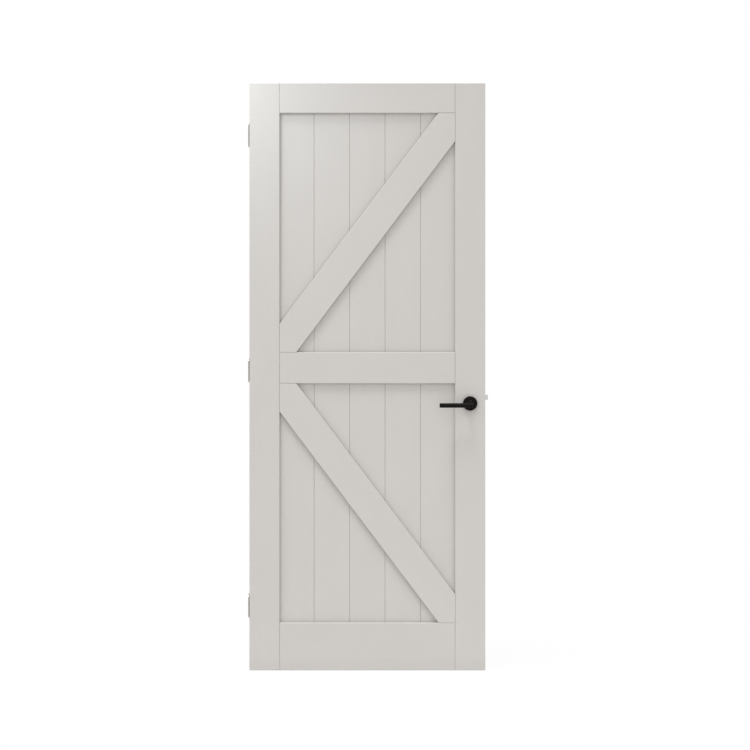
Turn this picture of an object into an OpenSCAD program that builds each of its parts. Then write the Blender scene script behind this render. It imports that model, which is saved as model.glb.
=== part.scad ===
// Interior door leaf: grooved stiles and rails hold tongued boards between flush diagonal braces on
// both faces. It hangs on three butt hinges and is held shut by a spring latch that a lever draws.
// X runs to the right and Y away from a viewer who faces the front, and Z is up.
// The origin is the middle of the leaf's bottom edge, halfway through its thickness.

/* [Leaf] */
// Width of the leaf
leaf_w = 930; // [830:5:1030]
// Height of the leaf
leaf_h = 2315; // [2015:5:2415]
// Thickness of the leaf
leaf_t = 40; // [38:1:50]
// Width of each stile
stile_w = 119; // [110:1:140]
// Height of the top rail
top_rail_h = 118; // [100:1:160]
// Height of the middle rail
middle_rail_h = 123; // [110:1:160]
// Height of the bottom rail
bottom_rail_h = 188; // [120:1:240]
// Chamfer along the edges of the stiles, rails and braces
edge_chamfer = 2; // [0.5:0.1:3]

/* [Boards and joinery] */
// Thickness of the boards, and so width of the grooves that hold them
board_t = 16; // [14:0.5:20]
// Cover width of a board between two joints
board_pitch = 140; // [110:1:150]
// Chamfer along each side of a joint between boards
board_chamfer = 1.9; // [1:0.1:3.5]
// Thickness of a board's tongue
tongue_t = 5; // [3:0.5:6]
// Length of a board's tongue
tongue_l = 7; // [4:0.5:10]
// Clearance around a tongue in its slot
tongue_gap = 0.2; // [0.1:0.1:0.5]
// Depth of the grooves in the stiles and rails
groove_d = 12; // [8:0.5:15]
// Room left at the bottom of a groove
groove_gap = 0.5; // [0.2:0.1:0.9]
// Diameter of the dowels between stiles and rails
dowel_d = 12; // [8:1:13]
// Length of a dowel
dowel_l = 100; // [60:2:120]
// Distance from a dowel's axis to the groove or edge next to it
dowel_inset = 25; // [15:1:30]

/* [Braces] */
// Width of a brace
brace_w = 120; // [80:1:140]
// Angle by which a brace lies flatter than the diagonal of its opening
brace_lean = 0.7; // [0:0.1:2]

/* [Hinges] */
// Height of a hinge
hinge_h = 89; // [76:1:102]
// Width of one hinge leaf, from the pin's axis to its free edge
hinge_leaf_w = 38; // [35:1:44]
// Thickness of a hinge leaf
hinge_leaf_t = 3; // [2.6:0.1:3.5]
// Radius of a hinge leaf's free corners
hinge_corner_r = 10; // [3:1:14]
// Outer diameter of a knuckle
knuckle_d = 13; // [12:0.5:16]
// Number of knuckles on a hinge
knuckles = 5; // [3:2:7]
// Gap between one knuckle and what turns past it
knuckle_gap = 0.4; // [0.2:0.1:0.8]
// Diameter of a hinge pin
pin_d = 7; // [5:0.5:8]
// Height of the cap on each end of a hinge pin
pin_cap_h = 3; // [2:0.5:6]
// Chamfer on the caps of a hinge pin
pin_cap_chamfer = 1.5; // [0.5:0.1:2]
// Gap between the leaf's edge and the jamb that it hangs on
jamb_gap = 3; // [2:0.5:4]
// Height of the lowest hinge's middle
low_hinge_z = 250; // [180:5:320]
// Distance from the leaf's top down to the highest hinge's middle
high_hinge_drop = 200; // [140:5:300]
// Distance between the two columns of holes in a hinge leaf
hinge_hole_span_y = 16; // [12:0.5:18]
// Distance between the two rows of holes in a hinge leaf
hinge_hole_span_z = 62; // [50:1:66]
// Distance from a hinge leaf's free edge to its first column of holes
hinge_hole_edge = 7.5; // [6:0.5:9]
// Diameter of the holes in a hinge's frame leaf
hinge_hole_d = 5.2; // [4.6:0.1:5.6]

/* [Wood screws] */
// Diameter of a countersunk head
screw_head_d = 8.8; // [8:0.1:9.6]
// Diameter of a screw's shank
screw_d = 4; // [3:0.1:4.5]
// Length of a screw
screw_l = 30; // [20:1:40]
// Clearance around a screw's shank in the plate that it holds
screw_gap = 0.2; // [0.1:0.05:0.4]

/* [Lever set] */
// Height of the spindle's axis
lever_z = 1052; // [1000:1:1060]
// Distance from the leaf's closing edge to the spindle's axis
backset = 60; // [58:1:70]
// Diameter of the grip
grip_d = 18; // [16.2:0.1:20]
// Length of the grip from the spindle's axis to its tip
grip_l = 122; // [105:1:140]
// Length of the grip on the other side of the axis
grip_heel = 9; // [8.5:0.1:12]
// Drop of the grip's axis below the spindle's axis
grip_drop = 7; // [4:0.1:9]
// Distance from the leaf's face to the grip's axis
grip_reach = 50; // [44:0.5:60]
// Chamfer at the ends of the grip
grip_chamfer = 1; // [0.4:0.1:2]
// Diameter of the neck between collar and grip
neck_d = 15; // [14.4:0.1:15.8]
// Depth that the neck is sunk into the collar
neck_root = 2; // [1:0.1:3]
// Diameter of the collar that turns in the rose
collar_d = 18; // [17:0.1:20]
// Length of the collar that stands proud of the rose
collar_proud = 4; // [3:0.5:8]
// Diameter of a rose
rose_d = 56.5; // [52:0.5:60]
// Height of a rose over the leaf's face
rose_h = 9; // [8:0.5:12]
// Wall of a rose's cover
rose_wall = 1.2; // [0.8:0.1:1.6]
// Chamfer around a rose's cover
rose_chamfer = 2; // [1.2:0.1:3]
// Clearance of a rose's cover around its base and its bush
rose_gap = 0.2; // [0.1:0.05:0.4]
// Outer diameter of the bush in a rose
bush_d = 24; // [22:0.5:26]
// Height of the bush's rim over the rose
bush_proud = 0.6; // [0.2:0.1:1.5]
// Room between the leaf's face and the collar and bush
bush_back = 1.5; // [0.5:0.5:3]
// Width of the square spindle
spindle_w = 8; // [7:0.5:8.5]
// Length of the spindle that stands out of each face of the leaf
spindle_out = 20; // [19:0.5:21]
// Diameter of a lever's grub screw
grub_d = 5; // [4:0.5:5.5]
// Length of a lever's grub screw
grub_l = 4.4; // [3.5:0.1:4.6]
// Distance from the collar to the hole of the grub screw
grub_gap = 0.8; // [0.5:0.1:1.2]
// Distance between the two screws through a rose
rose_screw_span = 38; // [36:0.5:40]
// Diameter of a rose screw's shank
rose_screw_d = 4; // [3:0.1:4.5]
// Diameter of a rose screw's head
rose_head_d = 7; // [6:0.1:8]
// Height of a rose screw's head
rose_head_h = 2.4; // [1.8:0.1:3]
// Diameter of the bosses behind a rose base
boss_d = 8; // [7:0.1:9]
// Length of those bosses in the leaf
boss_l = 10; // [6:0.5:10.5]

/* [Lock] */
// Width of the forend
forend_w = 20; // [19:0.5:24]
// Height of the forend
forend_h = 174; // [165:1:235]
// Thickness of the forend
forend_t = 3; // [2.6:0.1:4]
// Distance from the forend's ends to its screws
forend_screw_edge = 12; // [10:0.5:16]
// Outer thickness of the lock case
case_t = 16; // [15:0.5:18]
// Wall of the lock case
case_wall = 1.5; // [1.2:0.1:2]
// Depth of the case behind the spindle's axis
case_behind = 27; // [25:0.5:34]
// Depth of the case below the spindle's axis
case_below = 42; // [34:1:60]
// Height of the case above the spindle's axis
case_above = 62; // [50:1:75]
// Diameter of the posts that take the cover's screws
post_d = 7; // [6:0.1:8]
// Diameter of the cover's screws
cover_screw_d = 3; // [2:0.1:3.4]
// Diameter of the heads of the cover's screws
cover_head_d = 5; // [4.4:0.1:5.4]
// Length of the cover's screws
cover_screw_l = 10; // [6:0.5:12]
// Height of the latch bolt's axis above the spindle's axis
latch_rise = 24; // [23:0.5:28]
// Height of the latch bolt
bolt_h = 20; // [16:0.5:21]
// Length of the latch bolt's head behind the forend
bolt_back = 17; // [15:0.5:18]
// Travel of the latch bolt
bolt_throw = 11.5; // [11:0.1:13]
// Width of the latch bolt's blunt nose
bolt_nose = 3; // [2:0.1:5]
// Diameter of the latch bolt's rod
rod_d = 6; // [5:0.1:6.4]
// Thickness of the lug that hangs from the rod
lug_t = 6; // [4:0.1:8]
// Gap between the lug and the follower's hub
lug_gap = 1; // [0.5:0.1:1.5]
// Thickness of the wall that guides the rod
guide_t = 3; // [2:0.1:4]
// Diameter of the follower's hub
hub_d = 24; // [20:0.5:25]
// Diameter of the hub's journals
journal_d = 18; // [15:0.5:19]
// Reach of the follower's arms from the spindle's axis
arm_r = 18; // [16.5:0.1:18.5]
// Thickness of the follower's arms
arm_t = 5; // [4:0.1:6]
// Width of the follower's arms across the case
arm_w = 8; // [5:0.1:10]
// Diameter of the post that stops the follower at rest
stop_d = 6; // [4:0.1:6.5]
// Diameter of the wire in both springs
wire_d = 1; // [0.8:0.1:1.2]
// Number of turns in both springs
spring_turns = 7; // [5:1:9]
// Mean diameter of the latch spring
latch_spring_d = 8.6; // [8.2:0.1:10]
// Length of the latch spring
latch_spring_l = 24; // [22:0.5:25]
// Mean diameter of the follower spring
follower_spring_d = 6.4; // [5:0.1:7]
// Length of the follower spring
follower_spring_l = 26; // [22:0.5:30]
// Drop of the follower spring's axis below the spindle's axis
follower_spring_drop = 15; // [14.5:0.1:16]

/* [Clearances] */
// Radial clearance of everything that turns
running_gap = 0.05; // [0.02:0.01:0.1]
// Clearance of the spindle in its square sockets
socket_gap = 0.05; // [0.02:0.01:0.1]
// Clearance of hinges, forend and bosses in the wood around them
recess_gap = 0.2; // [0.1:0.05:0.5]
// Room around the lock case in its mortise
mortise_gap = 0.5; // [0.2:0.1:0.9]
// Clearance of the latch bolt in its slots
bolt_gap = 0.4; // [0.2:0.05:0.5]
// Running gap between an arm of the follower and what it moves
arm_gap = 0.6; // [0.5:0.05:0.9]
// Gap between a spring's moving end and what it pushes
spring_gap = 0.3; // [0.1:0.05:0.5]

/* [Hidden] */
$fn = 64;
paint = [0.81, 0.80, 0.78];
bare_wood = [0.80, 0.66, 0.47];
black = [0.07, 0.07, 0.07];
nylon = [0.16, 0.16, 0.17];
steel = [0.74, 0.74, 0.73];
zinc = [0.62, 0.64, 0.66];

// Overshoot of a cutter past the face that it opens
past = 1;
front = -1;
rear = 1;

// Leaf
board_count = 5;
opening_w = leaf_w - 2 * stile_w;
opening_h = (leaf_h - top_rail_h - middle_rail_h - bottom_rail_h) / 2;
lower_opening_z = bottom_rail_h;
middle_rail_z = lower_opening_z + opening_h;
upper_opening_z = middle_rail_z + middle_rail_h;
top_rail_z = upper_opening_z + opening_h;
tenon_l = groove_d - groove_gap;
brace_t = (leaf_t - board_t) / 2;
brace_angle = atan2(opening_h, opening_w) - brace_lean;
brace_run = opening_w / 2 - opening_h / 2 / tan(brace_angle) + brace_w / 2 / sin(brace_angle);
brace_rise = opening_h / 2 - opening_w / 2 * tan(brace_angle) + brace_w / 2 / cos(brace_angle);
// Two rows of dowels in each rail, clear of the rail's grooves
dowel_rows = [
    dowel_inset,
    bottom_rail_h - groove_d - dowel_inset,
    middle_rail_z + groove_d + dowel_inset,
    upper_opening_z - groove_d - dowel_inset,
    top_rail_z + groove_d + dowel_inset,
    leaf_h - dowel_inset
];

// Hinges
hinge_x = -leaf_w / 2 - jamb_gap / 2;
hinge_y = leaf_t / 2 + knuckle_d / 2;
high_hinge_z = leaf_h - high_hinge_drop;
hinge_heights = [low_hinge_z, (low_hinge_z + high_hinge_z) / 2, high_hinge_z];
hinge_leaf_end = -knuckle_d / 2 - knuckle_gap;
knuckle_h = hinge_h / knuckles;
frame_side = -1;
door_side = 1;
screw_hole_d = screw_d + 2 * screw_gap;

// Lever set
lever_x = leaf_w / 2 - backset;
base_h = rose_h - rose_wall;
base_d = rose_d - 2 * rose_wall - 2 * rose_gap;
inner_rose_chamfer = rose_chamfer - rose_wall * (2 - sqrt(2));
socket_w = spindle_w + 2 * socket_gap;
collar_end = rose_h + collar_proud;
neck_start = collar_end - neck_root;
neck_tilt = atan2(grip_drop, grip_reach - neck_start);
neck_l = (grip_reach - neck_start) / cos(neck_tilt);
grub_out = collar_end + grub_gap + grub_d / 2;

// Lock
case_front_x = leaf_w / 2 - forend_t;
case_back_x = lever_x - case_behind;
case_l = case_front_x - case_back_x;
case_low_z = lever_z - case_below;
case_high_z = lever_z + case_above;
case_h = case_high_z - case_low_z;
case_inner_t = case_t - 2 * case_wall;
forend_z = (case_low_z + case_high_z) / 2;
forend_screws_z = [
    forend_z - forend_h / 2 + forend_screw_edge,
    forend_z + forend_h / 2 - forend_screw_edge
];
latch_z = lever_z + latch_rise;
bolt_w = case_inner_t - 2 * bolt_gap;
bolt_back_x = case_front_x - bolt_back;
lug_right_x = lever_x - arm_t / 2 - arm_gap;
lug_low_z = lever_z + hub_d / 2 + lug_gap;
guide_x = bolt_back_x - latch_spring_l - guide_t;
spring_seat_x = lever_x + arm_t / 2 + follower_spring_l;
// Places of the cover's posts, which merge with the walls in the case's corners
post_inset = (post_d + case_wall) / 2;
post_places = [
    for (x = [case_back_x + post_inset, case_front_x - post_inset])
        for (z = [case_low_z + post_inset, case_high_z - post_inset])
            [x, z]
];

HINGES = [1, 2, 3];
BOARDS = [1:board_count];

// Shared shapes

// Cutter for a chamfer on an edge that runs along X through the origin.
// y_out and z_out are 1 or -1: the directions that lead out of the wood there.
module edge_cut(l, y_out, z_out) {
    y = y_out * edge_chamfer;
    z = z_out * edge_chamfer;
    translate([-l / 2, 0, 0]) upright_plate(l) polygon([[-2 * y, z], [y, z], [y, -2 * z]]);
}

// Section of a framing timber with its four edges chamfered, w along X from the origin
module timber_section(w) {
    half = leaf_t / 2;
    inset = half - edge_chamfer;
    polygon([
        [edge_chamfer, -half], [w - edge_chamfer, -half], [w, -inset], [w, inset],
        [w - edge_chamfer, half], [edge_chamfer, half], [0, inset], [0, -inset]
    ]);
}

// Countersunk wood screw: the head's face on the origin, the point along +Z
module wood_screw(head_d, d, l) {
    cylinder(d1 = head_d, d2 = d, h = (head_d - d) / 2);
    cylinder(d = d, h = l);
}

// Countersunk hole for such a screw through a plate of thickness t
module countersink(head_d, d, t) {
    translate([0, 0, -past]) cylinder(d = head_d, h = past);
    cylinder(d1 = head_d, d2 = d, h = (head_d - d) / 2);
    cylinder(d = d, h = t + past);
}

// Round bar on the Z axis with both ends chamfered
module turned_bar(d, l, chamfer) {
    rotate_extrude()
        polygon([
            [0, 0], [d / 2 - chamfer, 0], [d / 2, chamfer],
            [d / 2, l - chamfer], [d / 2 - chamfer, l], [0, l]
        ]);
}

// Plate outline drawn in Y and Z, as a plate of thickness t along +X
module upright_plate(t) {
    rotate([90, 0, 90]) linear_extrude(t) children();
}

// Compression spring of round wire along +X from the origin
module coil_spring(mean_d, l) {
    steps = 12;
    sides = 6;
    last = steps * spring_turns;
    run = l - wire_d;
    lead = run / spring_turns / (PI * mean_d);
    function ring(i) =
        let (
            a = 360 * i / steps,
            out = [0, cos(a), sin(a)],
            across = [1, lead * sin(a), -lead * cos(a)] / norm([1, lead]),
            middle = [wire_d / 2 + run * i / last, 0, 0] + out * mean_d / 2
        )
        [for (s = [0:sides - 1])
            middle + wire_d / 2 * (cos(360 * s / sides) * out + sin(360 * s / sides) * across)];
    points = [for (i = [0:last]) each ring(i)];
    walls = [
        for (i = [0:last - 1])
            for (s = [0:sides - 1])
                let (here = i * sides, there = here + sides, t = (s + 1) % sides)
                each [[here + s, here + t, there + t], [here + s, there + t, there + s]]
    ];
    first_end = [for (s = [sides - 1:-1:0]) s];
    last_end = [for (s = [0:sides - 1]) last * sides + s];
    polyhedron(points, concat([first_end], walls, [last_end]), convexity = 10);
}

// Framing

module stile_blank() {
    difference() {
        linear_extrude(leaf_h)
            difference() {
                timber_section(stile_w);
                translate([-past, -board_t / 2]) square([groove_d + past, board_t]);
            }
        for (y_out = [-1, 1])
            for (z_out = [-1, 1])
                translate([stile_w / 2, y_out * leaf_t / 2, z_out == 1 ? leaf_h : 0])
                    edge_cut(2 * stile_w, y_out, z_out);
    }
}

// The dowels of one stile: side -1 on the left, 1 on the right
module dowels(side) {
    for (z = dowel_rows)
        translate([side * opening_w / 2, 0, z])
            rotate([0, 90, 0]) cylinder(d = dowel_d, h = dowel_l, center = true);
}

module hinge_stile() {
    color(paint)
        difference() {
            translate([-opening_w / 2, 0, 0]) mirror([1, 0, 0]) stile_blank();
            dowels(-1);
            for (z = hinge_heights) {
                hinge_recess(z);
                hinge_fixings(z);
            }
        }
}

module lock_stile() {
    color(paint)
        difference() {
            translate([opening_w / 2, 0, 0]) stile_blank();
            dowels(1);
            lock_mortise();
            forend_fixings();
            at_spindle() rotate([90, 0, 0]) cylinder(d = bush_d, h = leaf_t + 2 * past, center = true);
            at_rose_screws()
                rotate([90, 0, 0])
                    cylinder(d = boss_d + 2 * recess_gap, h = leaf_t + 2 * past, center = true);
        }
}

// A rail from z up, with a groove for the boards on the sides that face an opening
module rail(z, h, groove_below, groove_above) {
    tenon_reach = opening_w / 2 + tenon_l;
    color(paint)
        difference() {
            union() {
                translate([-opening_w / 2, 0, z])
                    upright_plate(opening_w) rotate(90) timber_section(h);
                translate([-tenon_reach, -board_t / 2, z]) cube([2 * tenon_reach, board_t, h]);
            }
            for (x_out = [-1, 1])
                for (y_out = [-1, 1])
                    translate([x_out * opening_w / 2, y_out * leaf_t / 2, z + h / 2])
                        rotate([0, 90, 0]) edge_cut(2 * h, y_out, x_out);
            if (groove_below)
                translate([0, 0, z]) rail_groove();
            if (groove_above)
                translate([0, 0, z + h]) rail_groove();
            dowels(-1);
            dowels(1);
        }
}

// Cutter for a groove on both sides of the height z = 0
module rail_groove() {
    cube([opening_w + 4 * groove_d, board_t, 2 * groove_d], center = true);
}

module top_rail() {
    rail(top_rail_z, top_rail_h, true, false);
}

module middle_rail() {
    rail(middle_rail_z, middle_rail_h, true, true);
}

module bottom_rail() {
    rail(0, bottom_rail_h, false, true);
}

module frame_dowels() {
    color(bare_wood) {
        dowels(-1);
        dowels(1);
    }
}

// Panels

// Place of the joint to the right of board i
function joint_x(i) = (i - board_count / 2) * board_pitch;

// Board i of the panel whose opening starts at z
module board(i, z) {
    reach = opening_w / 2 + tenon_l;
    has_left_joint = i > 1;
    has_right_joint = i < board_count;
    left = has_left_joint ? joint_x(i - 1) : -reach;
    right = has_right_joint ? joint_x(i) : reach;
    slot_t = tongue_t + 2 * tongue_gap;
    slot_l = tongue_l + tongue_gap;
    color(paint)
        translate([0, 0, z - tenon_l])
            linear_extrude(opening_h + 2 * tenon_l)
                difference() {
                    union() {
                        translate([left, -board_t / 2]) square([right - left, board_t]);
                        if (has_right_joint)
                            translate([right - past, -tongue_t / 2]) square([tongue_l + past, tongue_t]);
                    }
                    if (has_left_joint)
                        translate([left - past, -slot_t / 2]) square([slot_l + past, slot_t]);
                    if (has_left_joint)
                        board_joint_cut(left);
                    if (has_right_joint)
                        board_joint_cut(right);
                }
}

// V-cuts on both faces at a joint between boards
module board_joint_cut(x) {
    for (y = [-board_t / 2, board_t / 2])
        translate([x, y]) rotate(45) square(board_chamfer * sqrt(2), center = true);
}

// Brace in the opening that starts at z, on one face of the leaf, with its two long edges chamfered.
// It rises to the right where slope is 1 and falls to the right where slope is -1.
module brace(z, face, slope) {
    w = opening_w / 2;
    h = opening_h / 2;
    color(paint)
        translate([0, 0, z + h])
            mirror([slope == 1 ? 0 : 1, 0, 0])
                difference() {
                    translate([0, face == front ? -board_t / 2 : leaf_t / 2, 0])
                        rotate([90, 0, 0])
                            linear_extrude(brace_t)
                                polygon([
                                    [w, h], [w - brace_run, h], [-w, brace_rise - h],
                                    [-w, -h], [brace_run - w, -h], [w, h - brace_rise]
                                ]);
                    for (side = [-1, 1])
                        rotate([0, -brace_angle, 0])
                            translate([0, face * leaf_t / 2, side * brace_w / 2])
                                edge_cut(4 * norm([w, h]), face, side);
                }
}

// Lever set

// Moves what is drawn around the spindle's axis to its place
module at_spindle() {
    translate([lever_x, 0, lever_z]) children();
}

module at_rose_screws() {
    for (side = [-1, 1])
        translate([lever_x + side * rose_screw_span / 2, 0, lever_z]) children();
}

// Turns a shape that stands on z = 0 so that it stands on one face of the leaf at the spindle
module on_face(face) {
    at_spindle()
        translate([0, face * leaf_t / 2, 0])
            rotate([face == front ? 90 : -90, 0, 0]) children();
}

// Lever of the front face, drawn at the spindle's axis
module lever_body() {
    translate([0, -leaf_t / 2, 0])
        difference() {
            union() {
                translate([0, -bush_back, 0])
                    rotate([90, 0, 0]) cylinder(d = collar_d, h = collar_end - bush_back);
                translate([0, -neck_start, 0])
                    rotate([90 + neck_tilt, 0, 0]) cylinder(d = neck_d, h = neck_l);
                translate([grip_heel, -grip_reach, -grip_drop])
                    rotate([0, -90, 0]) turned_bar(grip_d, grip_heel + grip_l, grip_chamfer);
            }
            translate([-socket_w / 2, -spindle_out - socket_gap, -socket_w / 2])
                cube([socket_w, spindle_out + socket_gap, socket_w]);
            translate([0, -grub_out, -grip_drop - grip_d])
                cylinder(d = grub_d, h = grip_drop + grip_d);
        }
}

module front_lever() {
    color(black) at_spindle() lever_body();
}

module rear_lever() {
    color(black) at_spindle() mirror([0, 1, 0]) lever_body();
}

module spindle() {
    color(zinc)
        at_spindle() cube([spindle_w, leaf_t + 2 * spindle_out, spindle_w], center = true);
}

module lever_grub_screws() {
    color(black)
        at_spindle()
            for (face = [front, rear])
                translate([0, face * (leaf_t / 2 + grub_out), -spindle_w / 2 - grub_l])
                    cylinder(d = grub_d, h = grub_l);
}

module rose_cover(face) {
    outer = rose_d / 2;
    inner = outer - rose_wall;
    hole = bush_d / 2 + rose_gap;
    color(black)
        on_face(face)
            rotate_extrude()
                polygon([
                    [outer, 0], [outer, rose_h - rose_chamfer], [outer - rose_chamfer, rose_h],
                    [hole, rose_h], [hole, base_h], [inner - inner_rose_chamfer, base_h],
                    [inner, base_h - inner_rose_chamfer], [inner, 0]
                ]);
}

// Base of a rose, with two bosses that reach into the leaf
module rose_base(face) {
    outer = base_d / 2;
    head_seat = base_h - rose_head_h - rose_gap;
    color(zinc)
        difference() {
            union() {
                on_face(face)
                    rotate_extrude()
                        polygon([
                            [bush_d / 2, 0], [outer, 0], [outer, base_h - inner_rose_chamfer],
                            [outer - inner_rose_chamfer, base_h], [bush_d / 2, base_h]
                        ]);
                at_rose_screws()
                    translate([0, face * leaf_t / 2, 0])
                        rotate([face == front ? -90 : 90, 0, 0])
                            cylinder(d = boss_d, h = boss_l);
            }
            at_rose_screws()
                rotate([90, 0, 0]) cylinder(d = rose_screw_d, h = leaf_t + 4 * rose_h, center = true);
            if (face == rear)
                at_rose_screws()
                    translate([0, leaf_t / 2 + head_seat, 0])
                        rotate([-90, 0, 0]) cylinder(d = rose_head_d + 2 * rose_gap, h = rose_h);
        }
}

module rose_screws() {
    head_y = leaf_t / 2 + base_h - rose_head_h - rose_gap;
    color(zinc)
        at_rose_screws() {
            translate([0, head_y, 0]) rotate([-90, 0, 0]) cylinder(d = rose_head_d, h = rose_head_h);
            translate([0, -head_y, 0]) rotate([-90, 0, 0]) cylinder(d = rose_screw_d, h = 2 * head_y);
        }
}

module lever_bush(face) {
    color(nylon)
        on_face(face)
            translate([0, 0, bush_back])
                difference() {
                    cylinder(d = bush_d, h = rose_h + bush_proud - bush_back);
                    translate([0, 0, -past])
                        cylinder(d = collar_d + 2 * running_gap, h = rose_h + bush_proud + 2 * past);
                }
}

// Lock

// Outline of the forend in Y and Z, wider by grow all round
module forend_outline(grow) {
    r = forend_w / 2 + grow;
    straight = forend_h - forend_w;
    translate([-r, -straight / 2]) square([2 * r, straight]);
    for (end = [-1, 1])
        translate([0, end * straight / 2]) circle(r);
}

module lock_mortise() {
    translate([case_front_x, 0, forend_z]) upright_plate(forend_t + past) forend_outline(recess_gap);
    translate([case_back_x - mortise_gap, -case_t / 2 - mortise_gap, case_low_z - mortise_gap])
        cube([case_l + mortise_gap + past, case_t + 2 * mortise_gap, case_h + 2 * mortise_gap]);
}

module forend_fixings() {
    for (z = forend_screws_z)
        translate([leaf_w / 2, 0, z]) rotate([0, -90, 0]) wood_screw(screw_head_d, screw_d, screw_l);
}

module forend_screws() {
    color(steel) forend_fixings();
}

// Slot that the latch bolt slides through, from x on
module bolt_slot(x, l) {
    w = bolt_w + 2 * bolt_gap;
    h = bolt_h + 2 * bolt_gap;
    translate([x, -w / 2, latch_z - h / 2]) cube([l, w, h]);
}

module lock_forend() {
    color(steel)
        difference() {
            translate([case_front_x, 0, forend_z]) upright_plate(forend_t) forend_outline(0);
            bolt_slot(case_front_x - past, forend_t + 2 * past);
            for (z = forend_screws_z)
                translate([leaf_w / 2, 0, z])
                    rotate([0, -90, 0]) countersink(screw_head_d, screw_hole_d, forend_t);
        }
}

// Holes across the case for the follower's journals and the screws of the roses
module case_cross_holes() {
    at_spindle()
        rotate([90, 0, 0]) cylinder(d = journal_d + 2 * running_gap, h = 2 * case_t, center = true);
    at_rose_screws()
        rotate([90, 0, 0]) cylinder(d = boss_d, h = 2 * case_t, center = true);
}

// A block across the inside of the case
module case_block(x, z, l, h) {
    translate([x, -case_inner_t / 2, z]) cube([l, case_inner_t, h]);
}

module lock_case() {
    color(zinc)
        difference() {
            union() {
                difference() {
                    translate([case_back_x, -case_inner_t / 2, case_low_z])
                        cube([case_l, case_inner_t + case_wall, case_h]);
                    translate([case_back_x + case_wall, -case_inner_t / 2 - past, case_low_z + case_wall])
                        cube([case_l - 2 * case_wall, case_inner_t + past, case_h - 2 * case_wall]);
                }
                case_block(
                    guide_x, latch_z - rod_d, guide_t,
                    case_high_z - latch_z + rod_d - case_wall / 2
                );
                case_block(
                    spring_seat_x, case_low_z + case_wall / 2, guide_t,
                    case_below - follower_spring_drop + follower_spring_d - case_wall / 2
                );
                case_post(
                    lever_x - arm_t / 2 - spring_gap - stop_d / 2, lever_z - arm_r + stop_d / 2, stop_d
                );
                for (place = post_places)
                    case_post(place.x, place.y, post_d);
            }
            bolt_slot(case_front_x - case_wall - past, case_wall + 2 * past);
            translate([guide_x - past, 0, latch_z])
                rotate([0, 90, 0]) cylinder(d = rod_d + 2 * running_gap, h = guide_t + 2 * past);
            case_cross_holes();
            cover_fixings();
        }
}

module case_post(x, z, d) {
    translate([x, 0, z]) rotate([90, 0, 0]) cylinder(d = d, h = case_inner_t, center = true);
}

module lock_cover() {
    color(zinc)
        difference() {
            translate([case_back_x, -case_t / 2, case_low_z]) cube([case_l, case_wall, case_h]);
            case_cross_holes();
            cover_fixings();
        }
}

module cover_fixings() {
    for (place = post_places)
        translate([place.x, -case_t / 2, place.y])
            rotate([-90, 0, 0]) wood_screw(cover_head_d, cover_screw_d, cover_screw_l);
}

module lock_cover_screws() {
    color(zinc) cover_fixings();
}

// Bevelled bolt with its rod, and the lug that the follower's upper arm draws back
module latch_bolt() {
    edge = leaf_w / 2;
    tip = edge + bolt_throw;
    half = bolt_w / 2;
    color(steel) {
        translate([0, 0, latch_z - bolt_h / 2])
            linear_extrude(bolt_h)
                polygon([
                    [bolt_back_x, -half], [edge, -half], [tip, half - bolt_nose],
                    [tip, half], [bolt_back_x, half]
                ]);
        translate([lug_right_x - lug_t, 0, latch_z])
            rotate([0, 90, 0]) cylinder(d = rod_d, h = bolt_back_x - lug_right_x + lug_t + past);
        translate([lug_right_x - lug_t, -rod_d / 2, lug_low_z]) cube([lug_t, rod_d, latch_z - lug_low_z]);
    }
}

module latch_spring() {
    color(steel)
        translate([guide_x + guide_t, 0, latch_z])
            coil_spring(latch_spring_d, latch_spring_l - spring_gap);
}

// Hub with a square socket, an upper arm for the bolt and a lower arm for the return spring
module follower() {
    color(zinc)
        at_spindle()
            difference() {
                union() {
                    rotate([90, 0, 0])
                        cylinder(d = hub_d, h = case_inner_t - 2 * bolt_gap, center = true);
                    rotate([90, 0, 0]) cylinder(d = journal_d, h = case_t, center = true);
                    cube([arm_t, arm_w, 2 * arm_r], center = true);
                }
                cube([socket_w, case_t + 2 * past, socket_w], center = true);
            }
}

module follower_spring() {
    color(steel)
        translate([lever_x + arm_t / 2 + spring_gap, 0, lever_z - follower_spring_drop])
            coil_spring(follower_spring_d, follower_spring_l - spring_gap);
}

// Hinges

// Moves what is drawn around a hinge pin's middle to its place
module at_hinge(z) {
    translate([hinge_x, hinge_y, z]) children();
}

// Outline of a hinge leaf in Y and Z, wider by grow, from its rounded free edge to y_end
module hinge_outline(grow, y_end) {
    r = hinge_corner_r + grow;
    half = hinge_h / 2 + grow;
    free_edge = -hinge_leaf_w - grow;
    translate([free_edge + r, -half]) square([y_end - free_edge - r, 2 * half]);
    translate([free_edge, r - half]) square([2 * r, 2 * half - 2 * r]);
    for (end = [-1, 1])
        translate([free_edge + r, end * (half - r)]) circle(r);
}

// Puts a fixing at each hole of a hinge leaf, pointing away from the jamb gap
module at_hinge_holes(side) {
    for (column = [0, 1])
        for (row = [-1, 1])
            translate([
                side * jamb_gap / 2,
                hinge_hole_edge - hinge_leaf_w + column * hinge_hole_span_y,
                row * hinge_hole_span_z / 2
            ])
                rotate([0, side * 90, 0]) children();
}

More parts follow.
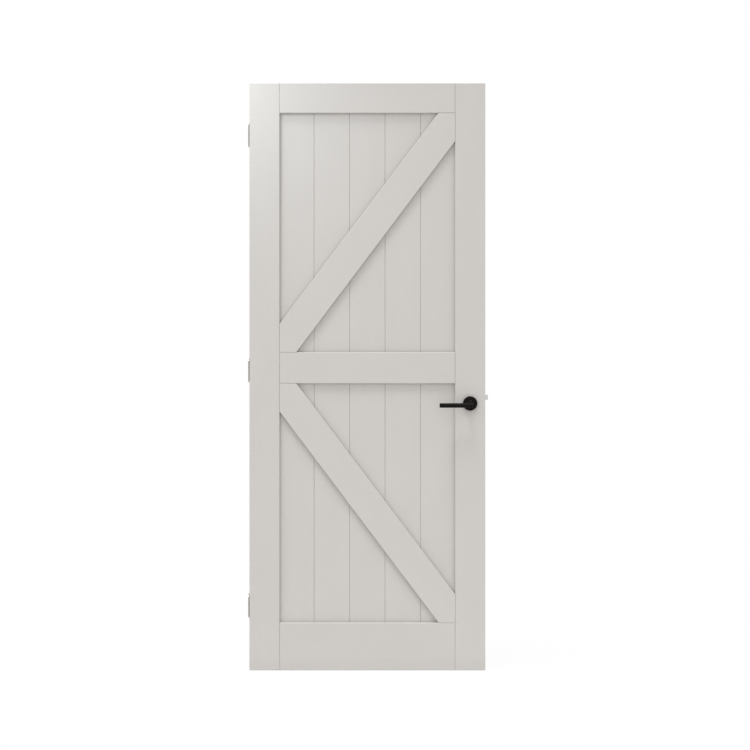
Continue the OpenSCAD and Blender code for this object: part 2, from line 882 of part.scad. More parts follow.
// Leaf of hinge i with every other knuckle: the frame's leaf has the first and the last one
module hinge_leaf(i, side) {
    plate_x = side == door_side ? jamb_gap / 2 : -jamb_gap / 2 - hinge_leaf_t;
    first = side == door_side ? 1 : 0;
    bore_d = side == door_side ? pin_d + 2 * running_gap : pin_d;
    hole_d = side == door_side ? screw_hole_d : hinge_hole_d;
    color(steel)
        at_hinge(hinge_heights[i - 1])
            difference() {
                union() {
                    translate([plate_x, 0, 0])
                        upright_plate(hinge_leaf_t) hinge_outline(0, hinge_leaf_end);
                    for (k = [first:2:knuckles - 1]) {
                        low = k == 0 ? 0 : knuckle_gap / 2;
                        high = k == knuckles - 1 ? 0 : knuckle_gap / 2;
                        translate([0, 0, k * knuckle_h - hinge_h / 2 + low]) {
                            cylinder(d = knuckle_d, h = knuckle_h - low - high);
                            translate([plate_x, hinge_leaf_end - past, 0])
                                cube([hinge_leaf_t, past - hinge_leaf_end, knuckle_h - low - high]);
                        }
                    }
                }
                cylinder(d = bore_d, h = hinge_h + 2 * past, center = true);
                at_hinge_holes(side) countersink(screw_head_d, hole_d, hinge_leaf_t);
            }
}

// Pin of hinge i with a chamfered cap on each end
module hinge_pin(i) {
    color(steel)
        at_hinge(hinge_heights[i - 1]) {
            cylinder(d = pin_d, h = hinge_h, center = true);
            for (end = [0, 1])
                mirror([0, 0, end])
                    translate([0, 0, hinge_h / 2]) {
                        cylinder(d = knuckle_d, h = pin_cap_h - pin_cap_chamfer);
                        translate([0, 0, pin_cap_h - pin_cap_chamfer])
                            cylinder(
                                d1 = knuckle_d, d2 = knuckle_d - 2 * pin_cap_chamfer, h = pin_cap_chamfer
                            );
                    }
        }
}

// Recess for a hinge's door leaf, open to the rear face
module hinge_recess(z) {
    at_hinge(z)
        translate([jamb_gap / 2 - past, 0, 0])
            upright_plate(hinge_leaf_t + past) hinge_outline(recess_gap, 0);
}

module hinge_fixings(z) {
    at_hinge(z)
        at_hinge_holes(door_side) wood_screw(screw_head_d, screw_d, screw_l);
}

module hinge_screws() {
    color(steel)
        for (z = hinge_heights)
            hinge_fixings(z);
}

// Assembly

hinge_stile();
lock_stile();
top_rail();
middle_rail();
bottom_rail();
brace(upper_opening_z, front, 1);  // front_upper_brace
brace(lower_opening_z, front, -1);  // front_lower_brace
brace(upper_opening_z, rear, 1);  // rear_upper_brace
brace(lower_opening_z, rear, -1);  // rear_lower_brace
for (i = BOARDS) {
    board(i, upper_opening_z);
    board(i, lower_opening_z);
}
frame_dowels();
front_lever();
rear_lever();
spindle();
lever_grub_screws();
rose_cover(front);  // front_rose_cover
rose_cover(rear);  // rear_rose_cover
rose_base(front);  // front_rose_base
rose_base(rear);  // rear_rose_base
lever_bush(front);  // front_lever_bush
lever_bush(rear);  // rear_lever_bush
rose_screws();
lock_forend();
forend_screws();
lock_case();
lock_cover();
lock_cover_screws();
latch_bolt();
latch_spring();
follower();
follower_spring();
for (i = HINGES) {
    hinge_leaf(i, frame_side);
    hinge_leaf(i, door_side);
    hinge_pin(i);
}
hinge_screws();
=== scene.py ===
"""Looks of a painted interior door: timber under satin paint, black levers, hinges and a latch."""
import math

import bmesh
import bpy
from mathutils import Matrix, Vector


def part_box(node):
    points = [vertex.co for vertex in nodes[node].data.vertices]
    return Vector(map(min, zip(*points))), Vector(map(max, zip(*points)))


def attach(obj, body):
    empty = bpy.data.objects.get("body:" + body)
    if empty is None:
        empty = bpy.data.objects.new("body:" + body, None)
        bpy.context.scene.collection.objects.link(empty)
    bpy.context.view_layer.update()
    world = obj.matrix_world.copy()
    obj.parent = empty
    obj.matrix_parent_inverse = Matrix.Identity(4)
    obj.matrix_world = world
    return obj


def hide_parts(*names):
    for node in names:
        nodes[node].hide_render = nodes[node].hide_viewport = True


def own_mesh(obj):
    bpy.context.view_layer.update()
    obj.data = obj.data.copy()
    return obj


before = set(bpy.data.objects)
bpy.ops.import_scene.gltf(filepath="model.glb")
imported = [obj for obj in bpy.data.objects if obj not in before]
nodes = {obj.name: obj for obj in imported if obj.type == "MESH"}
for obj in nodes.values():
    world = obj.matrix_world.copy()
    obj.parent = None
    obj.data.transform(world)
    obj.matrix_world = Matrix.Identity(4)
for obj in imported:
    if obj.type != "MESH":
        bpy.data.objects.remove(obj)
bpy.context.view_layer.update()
scene = bpy.context.scene
MM = 0.001

# Where the photograph shows the leaf, in pixels of its square frame
PHOTO_SIDE = 750
LEAF_LEFT_PX = 249.4
LEAF_RIGHT_PX = 485.3
LEAF_TOP_PX = 83.05
LEAF_BOTTOM_PX = 670.35

# Camera and light, in metres and watts, with the sensor in millimetres
CAMERA_DISTANCE = 7.0
SENSOR_WIDTH = 36.0
LAMP_PLACE = Vector((-0.76, -0.45, 2.50))
LAMP_AIM = Vector((-0.3, 0.0, 1.4))
LAMP_SIZE = 0.3
LAMP_POWER = 2.6
LAMP_COLOUR = (0.86, 0.95, 1.0)
SKY_FROM = Vector((-0.10, -0.24, 0.96))
SKY_SPREAD = math.radians(18)
SKY_STRENGTH = 1.6
FILL_STRENGTH = 0.815
FLOOR_SIZE = 7.0
# Share of the floor's look that glows, against the share that takes shadow
FLOOR_GLOW = 0.94

# Colours, linear
PAINT_COLOUR = (0.600, 0.576, 0.549)
BLACK_COLOUR = (0.0067, 0.0058, 0.0048)
NYLON_COLOUR = (0.006, 0.006, 0.0065)
STEEL_COLOUR = (0.46, 0.45, 0.435)
NICKEL_COLOUR = (0.60, 0.59, 0.57)
ZINC_COLOUR = (0.50, 0.52, 0.55)
SPRING_COLOUR = (0.36, 0.36, 0.37)
BEECH_COLOUR = (0.55, 0.36, 0.20)
FLOOR_COLOUR = (0.75, 0.75, 0.75)
WHITE = (1.0, 1.0, 1.0)

# Middle of a noise's range, where most of its values lie
NOISE_LOW = 0.3
NOISE_HIGH = 0.7

# Painted shade in corners: how far out the darkened colour reaches, and its darkest share of the
# colour
CORNER_SHADE_REACH = 60 * MM
CORNER_SHADE_DARKEST = 0.70
CORNER_SHADE_SAMPLES = 8

# Copies of CAD meshes: points this close are one, and faces this near to flat are one
JOIN_REACH = 0.001 * MM
FLAT_ANGLE = math.radians(1)

# Rounding of edges that the CAD solids have sharp, where they are sharper than the angle
PLATE_EASE = 0.35 * MM
BOLT_EASE = 0.8 * MM
EASE_ANGLE = math.radians(30)
EASE_SEGMENTS = 3

# Castings, whose points move by this share towards their neighbours in each pass
CAST_VOXEL = 0.6 * MM
CAST_SHARE = 0.5
CAST_PASSES = 14

# Edges that stay sharp under smooth shading, in degrees
ROUND_SHARP = 40
SCREW_SHARP = 30

# Pressed cover of a rose
ROSE_SEGMENTS = 128
ROSE_WALL = 1.2 * MM
ROSE_EDGE = 2.4 * MM
ROSE_LIP = 0.4 * MM
ROSE_GAP = 0.2 * MM
ROSE_EDGE_STEPS = 10
ROSE_LIP_STEPS = 4
ROSE_INSIDE_STEPS = 6

# Wood screws, with a cross recess that narrows downwards
SCREW_SEGMENTS = 32
SCREW_SHANK_R = 2.0 * MM
SCREW_POINT = 5.0 * MM
SCREW_RIM = 0.25 * MM
RECESS_REACH = 2.3 * MM
RECESS_FOOT = 0.9 * MM
RECESS_HALF = 0.55 * MM
RECESS_DEPTH = 1.7 * MM
# How much further each screw was driven than the one before
SCREW_TURN = math.radians(37)

# Compression springs of round wire
COIL_TURNS = 7
COIL_STEPS = 36
WIRE_SIDES = 12
WIRE_R = 0.5 * MM

# Grub screws with a hexagon socket, whose points are shared out over six flats
GRUB_SEGMENTS = 24
GRUB_RIM = 0.4 * MM
SOCKET_HALF = 1.25 * MM
SOCKET_DEPTH = 2.0 * MM


# Materials

def shade(colour, factor):
    """The colour made lighter or darker, as the RGBA that a socket takes."""
    return (*(channel * factor for channel in colour), 1.0)


def new_material(name, colour, metallic=0.0, specular=0.5):
    """A material and its shader, with the values that are the same all over the surface."""
    material = bpy.data.materials.new(name)
    material.use_nodes = True
    shader = material.node_tree.nodes["Principled BSDF"]
    shader.inputs["Base Color"].default_value = shade(colour, 1.0)
    shader.inputs["Metallic"].default_value = metallic
    shader.inputs["Specular IOR Level"].default_value = specular
    return material, shader


def noise(tree, size, tilt=0.0, detail=2.0):
    """Noise whose features measure size = (x, y, z) metres, leaning by tilt about the Y axis."""
    coordinates = tree.nodes.new("ShaderNodeTexCoord")
    mapping = tree.nodes.new("ShaderNodeMapping")
    mapping.vector_type = "TEXTURE"
    mapping.inputs["Rotation"].default_value = (0.0, tilt, 0.0)
    mapping.inputs["Scale"].default_value = size
    texture = tree.nodes.new("ShaderNodeTexNoise")
    texture.inputs["Scale"].default_value = 1.0
    texture.inputs["Detail"].default_value = detail
    tree.links.new(coordinates.outputs["Object"], mapping.inputs["Vector"])
    tree.links.new(mapping.outputs["Vector"], texture.inputs["Vector"])
    return texture.outputs["Fac"]


def spread(tree, height, low, high):
    """Maps the middle of a noise's range onto low to high."""
    span = tree.nodes.new("ShaderNodeMapRange")
    span.inputs["From Min"].default_value = NOISE_LOW
    span.inputs["From Max"].default_value = NOISE_HIGH
    span.inputs["To Min"].default_value = low
    span.inputs["To Max"].default_value = high
    tree.links.new(height, span.inputs["Value"])
    return span.outputs["Result"]


def vary_colour(tree, shader, height, colour, amount):
    """Lets the base colour drift by amount to both sides of colour."""
    mix = tree.nodes.new("ShaderNodeMix")
    mix.data_type = "RGBA"
    mix.inputs["A"].default_value = shade(colour, 1.0 - amount)
    mix.inputs["B"].default_value = shade(colour, 1.0 + amount)
    tree.links.new(spread(tree, height, 0.0, 1.0), mix.inputs["Factor"])
    tree.links.new(mix.outputs["Result"], shader.inputs["Base Color"])


def vary_roughness(tree, shader, height, low, high):
    """Lets the roughness drift from low to high."""
    tree.links.new(spread(tree, height, low, high), shader.inputs["Roughness"])


def add_relief(tree, shader, layers):
    """Stacks bumps on the shader: each layer is a height and its depth in metres."""
    below = None
    for height, depth in layers:
        bump = tree.nodes.new("ShaderNodeBump")
        bump.inputs["Strength"].default_value = 1.0
        bump.inputs["Distance"].default_value = depth
        tree.links.new(height, bump.inputs["Height"])
        if below is not None:
            tree.links.new(below, bump.inputs["Normal"])
        below = bump.outputs["Normal"]
    tree.links.new(below, shader.inputs["Normal"])


def paint_corner_shade(tree, shader, reach, darkest):
    """Paints shade into the base colour, down to darkest, where faces meet in a corner, as far out
    as reach.

    The painted shade fades out near the floor, which isn't part of the object."""
    coordinates = tree.nodes.new("ShaderNodeTexCoord")
    axes = tree.nodes.new("ShaderNodeSeparateXYZ")
    height = tree.nodes.new("ShaderNodeMapRange")
    height.inputs["From Max"].default_value = reach
    tree.links.new(coordinates.outputs["Object"], axes.inputs["Vector"])
    tree.links.new(axes.outputs["Z"], height.inputs["Value"])
    occlusion = tree.nodes.new("ShaderNodeAmbientOcclusion")
    occlusion.samples = CORNER_SHADE_SAMPLES
    occlusion.inputs["Distance"].default_value = reach
    tint = tree.nodes.new("ShaderNodeMapRange")
    tint.inputs["To Min"].default_value = darkest
    tint.inputs["To Max"].default_value = 1.0
    tree.links.new(occlusion.outputs["AO"], tint.inputs["Value"])
    mix = tree.nodes.new("ShaderNodeMix")
    mix.data_type = "RGBA"
    mix.blend_type = "MULTIPLY"
    tree.links.new(height.outputs["Result"], mix.inputs["Factor"])
    base = shader.inputs["Base Color"]
    tree.links.new(base.links[0].from_socket, mix.inputs["A"])
    tree.links.new(tint.outputs["Result"], mix.inputs["B"])
    tree.links.new(mix.outputs["Result"], base)


def paint(name, tilt):
    """Satin paint rolled onto timber whose grain runs along Z, leant by tilt."""
    material, shader = new_material(name, PAINT_COLOUR, specular=0.4)
    tree = material.node_tree
    clouds = noise(tree, (110 * MM, 110 * MM, 300 * MM), tilt, detail=3.0)
    grain = noise(tree, (3.5 * MM, 3.5 * MM, 220 * MM), tilt, detail=3.0)
    stipple = noise(tree, (1.4 * MM,) * 3, detail=1.0)
    vary_colour(tree, shader, clouds, PAINT_COLOUR, amount=0.012)
    # Painted shade: the base colour is darkened where faces meet in corners, fading out near the
    # floor
    paint_corner_shade(tree, shader, CORNER_SHADE_REACH, CORNER_SHADE_DARKEST)
    vary_roughness(tree, shader, grain, low=0.42, high=0.54)
    add_relief(tree, shader, [(grain, 0.10 * MM), (stipple, 0.07 * MM)])
    return material


def powder_coat():
    """Matt black powder coat with its fine leathery texture."""
    material, shader = new_material("black_powder_coat", BLACK_COLOUR, specular=0.09)
    tree = material.node_tree
    pebble = noise(tree, (0.45 * MM,) * 3, detail=1.0)
    clouds = noise(tree, (12 * MM,) * 3, detail=3.0)
    vary_colour(tree, shader, clouds, BLACK_COLOUR, amount=0.15)
    vary_roughness(tree, shader, clouds, low=0.50, high=0.62)
    add_relief(tree, shader, [(pebble, 0.02 * MM)])
    return material


def moulded_nylon():
    """Black nylon with the fine spark texture of its mould."""
    material, shader = new_material("black_moulded_nylon", NYLON_COLOUR, specular=0.2)
    tree = material.node_tree
    spark = noise(tree, (0.3 * MM,) * 3, detail=1.0)
    flow = noise(tree, (6 * MM,) * 3)
    vary_colour(tree, shader, flow, NYLON_COLOUR, amount=0.2)
    vary_roughness(tree, shader, flow, low=0.48, high=0.62)
    add_relief(tree, shader, [(spark, 0.015 * MM)])
    return material


def brushed_metal(name, colour, rough, lay):
    """Metal brushed along the axis in which lay is longest."""
    material, shader = new_material(name, colour, metallic=1.0)
    tree = material.node_tree
    scratches = noise(tree, lay, detail=3.0)
    clouds = noise(tree, (20 * MM,) * 3, detail=3.0)
    vary_colour(tree, shader, clouds, colour, amount=0.06)
    vary_roughness(tree, shader, scratches, low=rough - 0.06, high=rough + 0.08)
    add_relief(tree, shader, [(scratches, 0.006 * MM)])
    return material


def beech():
    """Bare beech whose grain runs along X."""
    material, shader = new_material("beech", BEECH_COLOUR, specular=0.3)
    tree = material.node_tree
    grain = noise(tree, (30 * MM, 1.2 * MM, 1.2 * MM), detail=4.0)
    vary_colour(tree, shader, grain, BEECH_COLOUR, amount=0.14)
    vary_roughness(tree, shader, grain, low=0.6, high=0.75)
    add_relief(tree, shader, [(grain, 0.05 * MM)])
    return material


def dress(names, material):
    """Gives CAD nodes one material in place of what they were packed with."""
    for name in names:
        slots = nodes[name].material_slots
        if not slots:
            nodes[name].data.materials.append(material)
        for slot in slots:
            slot.material = material


def named(*words):
    """The CAD nodes whose name has one of these words."""
    return [name for name in nodes if any(word in name for word in words)]


brace_low, brace_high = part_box("front_upper_brace")
brace_tilt = math.atan2(brace_high.x - brace_low.x, brace_high.z - brace_low.z)

upright_paint = paint("paint_upright_grain", 0.0)
level_paint = paint("paint_level_grain", math.pi / 2)
rising_paint = paint("paint_rising_grain", brace_tilt)
falling_paint = paint("paint_falling_grain", -brace_tilt)
black = powder_coat()
nylon = moulded_nylon()
steel = brushed_metal("satin_steel", STEEL_COLOUR, rough=0.34, lay=(0.3 * MM, 0.3 * MM, 50 * MM))
nickel = brushed_metal("satin_nickel", NICKEL_COLOUR, rough=0.30, lay=(0.3 * MM, 0.3 * MM, 20 * MM))
zinc = brushed_metal("zinc_plate", ZINC_COLOUR, rough=0.42, lay=(1.2 * MM, 1.2 * MM, 1.6 * MM))
spring = brushed_metal("spring_steel", SPRING_COLOUR, rough=0.3, lay=(20 * MM, 0.3 * MM, 0.3 * MM))

dress(named("stile", "board"), upright_paint)
dress(named("rail"), level_paint)
dress(named("upper_brace"), rising_paint)
dress(named("lower_brace"), falling_paint)
dress(named("dowels"), beech())
dress(named("lever_bush"), nylon)
dress(named("lock_case", "lock_cover", "spindle", "follower", "rose_base", "rose_screws"), zinc)


# Pieces that stand for CAD nodes, with finer forms

def add_piece(name, mesh, material, node, body):
    """Puts a finished mesh in the scene in place of a CAD node."""
    piece = bpy.data.objects.new(name, mesh)
    scene.collection.objects.link(piece)
    mesh.materials.clear()
    mesh.materials.append(material)
    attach(piece, body)
    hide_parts(node)
    return piece


def set_smooth(mesh, sharp_degrees):
    """Smooth shading that keeps edges sharper than the angle."""
    mesh.shade_smooth()
    mesh.set_sharp_from_angle(angle=math.radians(sharp_degrees))


def copy_of(node):
    """An object in the scene with a copy of a CAD node's mesh, its split corners joined."""
    source = bpy.data.objects.new(node + "_source", nodes[node].data.copy())
    scene.collection.objects.link(source)
    weld = source.modifiers.new("joined_corners", "WELD")
    weld.merge_threshold = JOIN_REACH
    return source


def finished_mesh(source):
    """The mesh of an object after its modifiers. The object itself goes."""
    evaluated = source.evaluated_get(bpy.context.evaluated_depsgraph_get())
    mesh = bpy.data.meshes.new_from_object(evaluated)
    bpy.data.objects.remove(source)
    return mesh


def cast_mesh(node):
    """Mesh of a cast CAD solid with filled inner corners and eased outer ones."""
    source = copy_of(node)
    remesh = source.modifiers.new("even_mesh", "REMESH")
    remesh.mode = "VOXEL"
    remesh.voxel_size = CAST_VOXEL
    ease = source.modifiers.new("eased_corners", "SMOOTH")
    ease.factor = CAST_SHARE
    ease.iterations = CAST_PASSES
    mesh = finished_mesh(source)
    mesh.shade_smooth()
    return mesh


def eased_mesh(node, width):
    """Mesh of a machined CAD solid with its sharp edges rounded over by width."""
    source = copy_of(node)
    source.data.shade_smooth()
    flat = source.modifiers.new("whole_faces", "DECIMATE")
    flat.decimate_type = "DISSOLVE"
    flat.angle_limit = FLAT_ANGLE
    ease = source.modifiers.new("eased_edges", "BEVEL")
    ease.width = width
    ease.segments = EASE_SEGMENTS
    ease.limit_method = "ANGLE"
    ease.angle_limit = EASE_ANGLE
    ease.harden_normals = True
    return finished_mesh(source)


def arc(centre, radius, start, end, steps):
    """Points of an arc about centre, from start to end in degrees."""
    angles = [math.radians(start + (end - start) * i / steps) for i in range(steps + 1)]
    return [
        (centre[0] + radius * math.cos(a), centre[1] + radius * math.sin(a)) for a in angles
    ]


def lathe(bm, profile, segments, closed):
    """Turns a profile of (radius, height) about the Z axis, and joins its ends if it is closed."""
    turn = 2 * math.pi / segments
    rings = []
    for radius, height in profile:
        if radius == 0.0:
            rings.append([bm.verts.new((0.0, 0.0, height))])
            continue
        rings.append([
            bm.verts.new((radius * math.cos(turn * i), radius * math.sin(turn * i), height))
            for i in range(segments)
        ])
    pairs = list(zip(rings, rings[1:]))
    if closed:
        pairs.append((rings[-1], rings[0]))
    for lower, upper in pairs:
        for i in range(segments):
            j = (i + 1) % segments
            corners = [lower[i % len(lower)], lower[j % len(lower)]]
            corners += [upper[j % len(upper)], upper[i % len(upper)]]
            bm.faces.new(list(dict.fromkeys(corners)))


def mesh_from(bm, name):
    """A mesh from a bmesh, with its faces turned outwards. The bmesh itself goes."""
    bmesh.ops.recalc_face_normals(bm, faces=bm.faces)
    mesh = bpy.data.meshes.new(name)
    bm.to_mesh(mesh)
    bm.free()
    return mesh


def rose_mesh(node, bush_node):
    """A rose's pressed cover: a cup with a rounded rim and a lip round the bush."""
    low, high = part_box(node)
    bush_low, bush_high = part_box(bush_node)
    outer = (high.x - low.x) / 2
    height = high.y - low.y
    hole = (bush_high.x - bush_low.x) / 2 + ROSE_GAP
    rim_centre = (outer - ROSE_EDGE, height - ROSE_EDGE)
    profile = [(outer, 0.0)]
    profile += arc(rim_centre, ROSE_EDGE, 0, 90, ROSE_EDGE_STEPS)
    profile += arc((hole + ROSE_LIP, height - ROSE_LIP), ROSE_LIP, 90, 180, ROSE_LIP_STEPS)
    profile += [(hole, height - ROSE_WALL)]
    profile += arc(rim_centre, ROSE_EDGE - ROSE_WALL, 90, 0, ROSE_INSIDE_STEPS)
    profile += [(outer - ROSE_WALL, 0.0)]
    bm = bmesh.new()
    lathe(bm, profile, ROSE_SEGMENTS, closed=True)
    in_front = low.y < 0
    seat = high.y if in_front else low.y
    centre = (low + high) / 2
    bm.transform(
        Matrix.Translation((centre.x, seat, centre.z))
        @ Matrix.Rotation(math.pi / 2 if in_front else -math.pi / 2, 4, "X")
    )
    mesh = mesh_from(bm, node)
    set_smooth(mesh, ROUND_SHARP)
    return mesh


def solids_of(node):
    """The boxes of a node's separate solids, from the lowest up."""
    bm = bmesh.new()
    bm.from_mesh(nodes[node].data)
    bmesh.ops.remove_doubles(bm, verts=bm.verts, dist=JOIN_REACH)
    left = set(bm.verts)
    boxes = []
    while left:
        reached = [left.pop()]
        for vert in reached:
            for edge in vert.link_edges:
                other = edge.other_vert(vert)
                if other in left:
                    left.remove(other)
                    reached.append(other)
        low = Vector(min(v.co[axis] for v in reached) for axis in range(3))
        high = Vector(max(v.co[axis] for v in reached) for axis in range(3))
        boxes.append((low, high))
    bm.free()
    return sorted(boxes, key=lambda box: (box[0].z, box[0].y))


def cross_ring(bm, reach, height):
    """A ring of points on a cross whose arms end at reach."""
    corner = [(reach, -RECESS_HALF), (reach, RECESS_HALF), (RECESS_HALF, RECESS_HALF)]
    ring = []
    for quarter in range(4):
        turn = Matrix.Rotation(quarter * math.pi / 2, 3, "Z")
        ring += [bm.verts.new(turn @ Vector((x, y, height))) for x, y in corner]
    return ring


def screw_mesh(head_r, length):
    """A countersunk wood screw with a cross recess, its head's face on z = 0 and its point down."""
    cone = head_r - SCREW_SHANK_R
    profile = [
        (head_r - SCREW_RIM / 2, 0.0), (head_r, -SCREW_RIM / 2), (head_r, -SCREW_RIM),
        (SCREW_SHANK_R, -SCREW_RIM - cone), (SCREW_SHANK_R, SCREW_POINT - length), (0.0, -length)
    ]
    bm = bmesh.new()
    lathe(bm, profile, SCREW_SEGMENTS, closed=False)
    bm.verts.ensure_lookup_table()
    rim = bm.verts[:SCREW_SEGMENTS]
    mouth = cross_ring(bm, RECESS_REACH, 0.0)
    foot = cross_ring(bm, RECESS_FOOT, -RECESS_DEPTH)
    for i in range(len(mouth)):
        j = (i + 1) % len(mouth)
        bm.faces.new((mouth[i], mouth[j], foot[j], foot[i]))
    bm.faces.new(foot)
    border = [
        bm.edges.get(pair) for ring in (rim, mouth) for pair in zip(ring, ring[1:] + ring[:1])
    ]
    bmesh.ops.triangle_fill(bm, use_beauty=True, edges=border, normal=(0.0, 0.0, 1.0))
    return mesh_from(bm, "cross_screw")


def screws_mesh(node, outward):
    """Screws at the places of a node's solids, with their heads towards outward along X."""
    boxes = solids_of(node)
    head_r = max(high.z - low.z for low, high in boxes) / 2
    length = max(high.x - low.x for low, high in boxes)
    screw = screw_mesh(head_r, length)
    bm = bmesh.new()
    for number, (low, high) in enumerate(boxes):
        middle = (low + high) / 2
        place = Matrix.Translation((high.x if outward > 0 else low.x, middle.y, middle.z))
        lie = Matrix.Rotation(outward * math.pi / 2, 4, "Y")
        turn = Matrix.Rotation(number * SCREW_TURN, 4, "Z")
        start = len(bm.verts)
        bm.from_mesh(screw)
        bm.verts.ensure_lookup_table()
        bmesh.ops.transform(bm, matrix=place @ lie @ turn, verts=bm.verts[start:])
    mesh = mesh_from(bm, node)
    set_smooth(mesh, SCREW_SHARP)
    return mesh


def hexagon_ring(bm, height):
    """A ring of points on the hexagon of a grub screw's socket."""
    flat = math.pi / 3
    ring = []
    for i in range(GRUB_SEGMENTS):
        angle = 2 * math.pi * i / GRUB_SEGMENTS
        from_flat = (angle + flat / 2) % flat - flat / 2
        reach = SOCKET_HALF / math.cos(from_flat)
        ring.append(bm.verts.new((reach * math.cos(angle), reach * math.sin(angle), height)))
    return ring


def grub_screws_mesh(node):
    """Grub screws with a hexagon socket in their lower end."""
    bm = bmesh.new()
    for low, high in solids_of(node):
        radius = (high.x - low.x) / 2
        length = high.z - low.z
        profile = [
            (0.0, length), (radius - GRUB_RIM, length), (radius, length - GRUB_RIM),
            (radius, GRUB_RIM), (radius - GRUB_RIM, 0.0)
        ]
        start = len(bm.verts)
        lathe(bm, profile, GRUB_SEGMENTS, closed=False)
        bm.verts.ensure_lookup_table()
        rings = [bm.verts[-GRUB_SEGMENTS:], hexagon_ring(bm, 0.0), hexagon_ring(bm, SOCKET_DEPTH)]
        for outer, inner in zip(rings, rings[1:]):
            for i in range(GRUB_SEGMENTS):
                j = (i + 1) % GRUB_SEGMENTS
                bm.faces.new((outer[i], outer[j], inner[j], inner[i]))
        bm.faces.new(rings[-1])
        bm.verts.ensure_lookup_table()
        middle = (low + high) / 2
        bmesh.ops.translate(bm, vec=(middle.x, middle.y, low.z), verts=bm.verts[start:])
    mesh = mesh_from(bm, node)
    set_smooth(mesh, SCREW_SHARP)
    return mesh


def coil_mesh(node):
    """A spring's wire, wound along X in the node's box."""
    low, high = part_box(node)
    middle = (low + high) / 2
    radius = (high.y - low.y) / 2 - WIRE_R
    run = high.x - low.x - 2 * WIRE_R
    lead = run / COIL_TURNS / (2 * math.pi * radius)
    steps = COIL_TURNS * COIL_STEPS
    bm = bmesh.new()
    rings = []
    for i in range(steps + 1):
        turn = Matrix.Rotation(2 * math.pi * i / COIL_STEPS, 3, "X")
        out = turn @ Vector((0.0, 1.0, 0.0))
        across = turn @ Vector((1.0, 0.0, -lead)).normalized()
        heart = Vector((low.x + WIRE_R + run * i / steps, middle.y, middle.z)) + radius * out
        ring = []
        for side in range(WIRE_SIDES):
            angle = 2 * math.pi * side / WIRE_SIDES
            offset = math.cos(angle) * out + math.sin(angle) * across
            ring.append(bm.verts.new(heart + WIRE_R * offset))
        rings.append(ring)
    for here, there in zip(rings, rings[1:]):
        for i in range(WIRE_SIDES):
            j = (i + 1) % WIRE_SIDES
            bm.faces.new((here[i], here[j], there[j], there[i]))
    bm.faces.new(rings[0])
    bm.faces.new(rings[-1])
    mesh = mesh_from(bm, node)
    set_smooth(mesh, ROUND_SHARP)
    return mesh


def add_spring(node):
    """A coil of wire on the leaf in place of a spring's CAD node, with a mesh of its own."""
    coil = add_piece(node + "_coil", coil_mesh(node), spring, node, "leaf")
    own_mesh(coil)


for face in ("front", "rear"):
    lever = face + "_lever"
    cover = face + "_rose_cover"
    cover_pressing = rose_mesh(cover, lever + "_bush")
    add_piece(lever + "_casting", cast_mesh(lever), black, lever, "handle")
    add_piece(cover + "_pressing", cover_pressing, black, cover, "leaf")
for hinge in ("hinge_1", "hinge_2", "hinge_3"):
    for part in (hinge + "_frame_leaf", hinge + "_pin", hinge + "_door_leaf"):
        body = "leaf" if part.endswith("_door_leaf") else "hinge_frame_side"
        add_piece(part + "_eased", eased_mesh(part, PLATE_EASE), nickel, part, body)
bolt = eased_mesh("latch_bolt", BOLT_EASE)
forend = eased_mesh("lock_forend", PLATE_EASE)
hinge_screws = screws_mesh("hinge_screws", -1.0)
forend_screws = screws_mesh("forend_screws", 1.0)
grub_screws = grub_screws_mesh("lever_grub_screws")
add_piece("latch_bolt_eased", bolt, nickel, "latch_bolt", "latch")
add_piece("lock_forend_eased", forend, steel, "lock_forend", "leaf")
add_piece("hinge_cross_screws", hinge_screws, nickel, "hinge_screws", "leaf")
add_piece("forend_cross_screws", forend_screws, steel, "forend_screws", "leaf")
add_piece("lever_socket_screws", grub_screws, black, "lever_grub_screws", "handle")
add_spring("latch_spring")
add_spring("follower_spring")


# Floor, light and camera

def seen_directly(tree):
    """1 for what the camera, a reflection or glass sees, and 0 for light that falls on things."""
    path = tree.nodes.new("ShaderNodeLightPath")
    either = path.outputs["Is Camera Ray"]
    for other in ("Is Glossy Ray", "Is Transmission Ray"):
        join = tree.nodes.new("ShaderNodeMath")
        join.operation = "MAXIMUM"
        tree.links.new(either, join.inputs[0])
        tree.links.new(path.outputs[other], join.inputs[1])
        either = join.outputs["Value"]
    return either


def add_floor():
    """A pale floor that glows for the camera, so that it shows white and keeps a faint shadow."""
    bpy.ops.mesh.primitive_plane_add(size=FLOOR_SIZE, location=(0.0, 0.0, 0.0))
    floor = bpy.context.object
    floor.name = "floor"
    material = bpy.data.materials.new("pale_floor")
    material.use_nodes = True
    tree = material.node_tree
    tree.nodes.clear()
    output = tree.nodes.new("ShaderNodeOutputMaterial")
    diffuse = tree.nodes.new("ShaderNodeBsdfDiffuse")
    diffuse.inputs["Color"].default_value = shade(FLOOR_COLOUR, 1.0)
    glow = tree.nodes.new("ShaderNodeEmission")
    share = tree.nodes.new("ShaderNodeMath")
    share.operation = "MULTIPLY"
    share.inputs[1].default_value = FLOOR_GLOW
    mix = tree.nodes.new("ShaderNodeMixShader")
    tree.links.new(seen_directly(tree), share.inputs[0])
    tree.links.new(share.outputs["Value"], mix.inputs["Fac"])
    tree.links.new(diffuse.outputs["BSDF"], mix.inputs[1])
    tree.links.new(glow.outputs["Emission"], mix.inputs[2])
    tree.links.new(mix.outputs["Shader"], output.inputs["Surface"])
    floor.data.materials.append(material)


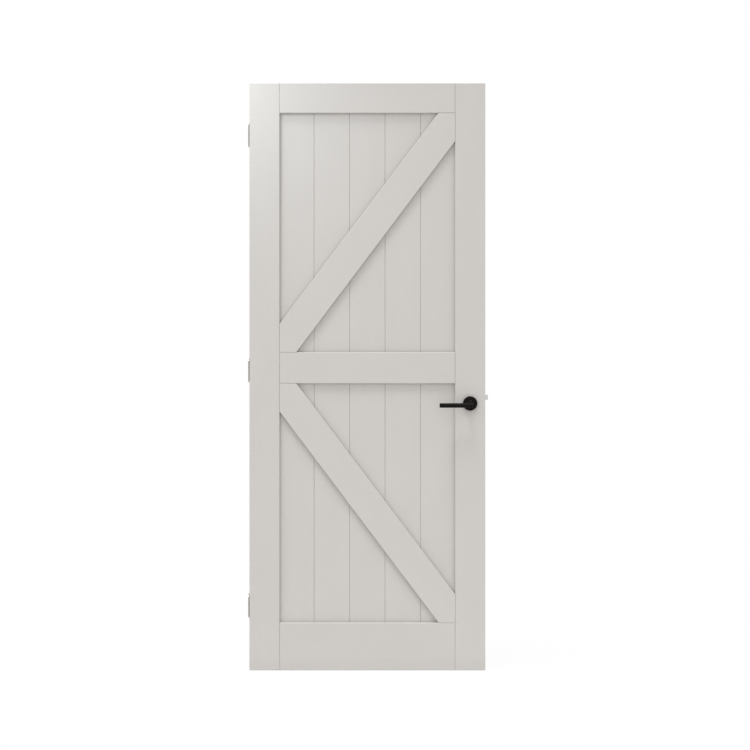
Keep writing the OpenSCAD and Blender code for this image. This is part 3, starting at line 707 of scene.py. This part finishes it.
def set_world():
    """A white surround that lights the object more softly than it shows."""
    world = bpy.data.worlds.new("studio")
    world.use_nodes = True
    scene.world = world
    tree = world.node_tree
    background = tree.nodes["Background"]
    background.inputs["Color"].default_value = shade(WHITE, 1.0)
    strength = tree.nodes.new("ShaderNodeMapRange")
    strength.inputs["To Min"].default_value = FILL_STRENGTH
    strength.inputs["To Max"].default_value = 1.0
    tree.links.new(seen_directly(tree), strength.inputs["Value"])
    tree.links.new(strength.outputs["Result"], background.inputs["Strength"])


def add_light(name, kind, place, aim, power):
    """A light at place that faces aim, and that the camera doesn't see."""
    light = bpy.data.lights.new(name, kind)
    light.energy = power
    lamp = bpy.data.objects.new(name, light)
    lamp.location = place
    lamp.rotation_euler = (aim - place).to_track_quat("-Z", "Y").to_euler()
    lamp.visible_camera = False
    scene.collection.objects.link(lamp)
    return light


def add_camera():
    """Looks straight at the leaf, at the scale and place that it has in the photograph."""
    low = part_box("hinge_stile")[0]
    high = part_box("lock_stile")[1]
    scale = (high.z - low.z) / (LEAF_BOTTOM_PX - LEAF_TOP_PX)
    middle = PHOTO_SIDE / 2
    camera = bpy.data.cameras.new("camera")
    camera.sensor_fit = "HORIZONTAL"
    camera.sensor_width = SENSOR_WIDTH
    camera.lens = SENSOR_WIDTH * CAMERA_DISTANCE / (PHOTO_SIDE * scale)
    rig = bpy.data.objects.new("camera", camera)
    rig.location = (
        (low.x + high.x) / 2 + (middle - (LEAF_LEFT_PX + LEAF_RIGHT_PX) / 2) * scale,
        low.y - CAMERA_DISTANCE,
        (low.z + high.z) / 2 + ((LEAF_TOP_PX + LEAF_BOTTOM_PX) / 2 - middle) * scale,
    )
    rig.rotation_euler = (math.pi / 2, 0.0, 0.0)
    scene.collection.objects.link(rig)
    scene.camera = rig


add_floor()
set_world()
corner_lamp = add_light("corner_lamp", "AREA", LAMP_PLACE, LAMP_AIM, LAMP_POWER)
corner_lamp.size = LAMP_SIZE
corner_lamp.color = LAMP_COLOUR
overhead_sky = add_light("overhead_sky", "SUN", SKY_FROM, Vector(), SKY_STRENGTH)
overhead_sky.angle = SKY_SPREAD
add_camera()
scene.view_settings.view_transform = "Standard"
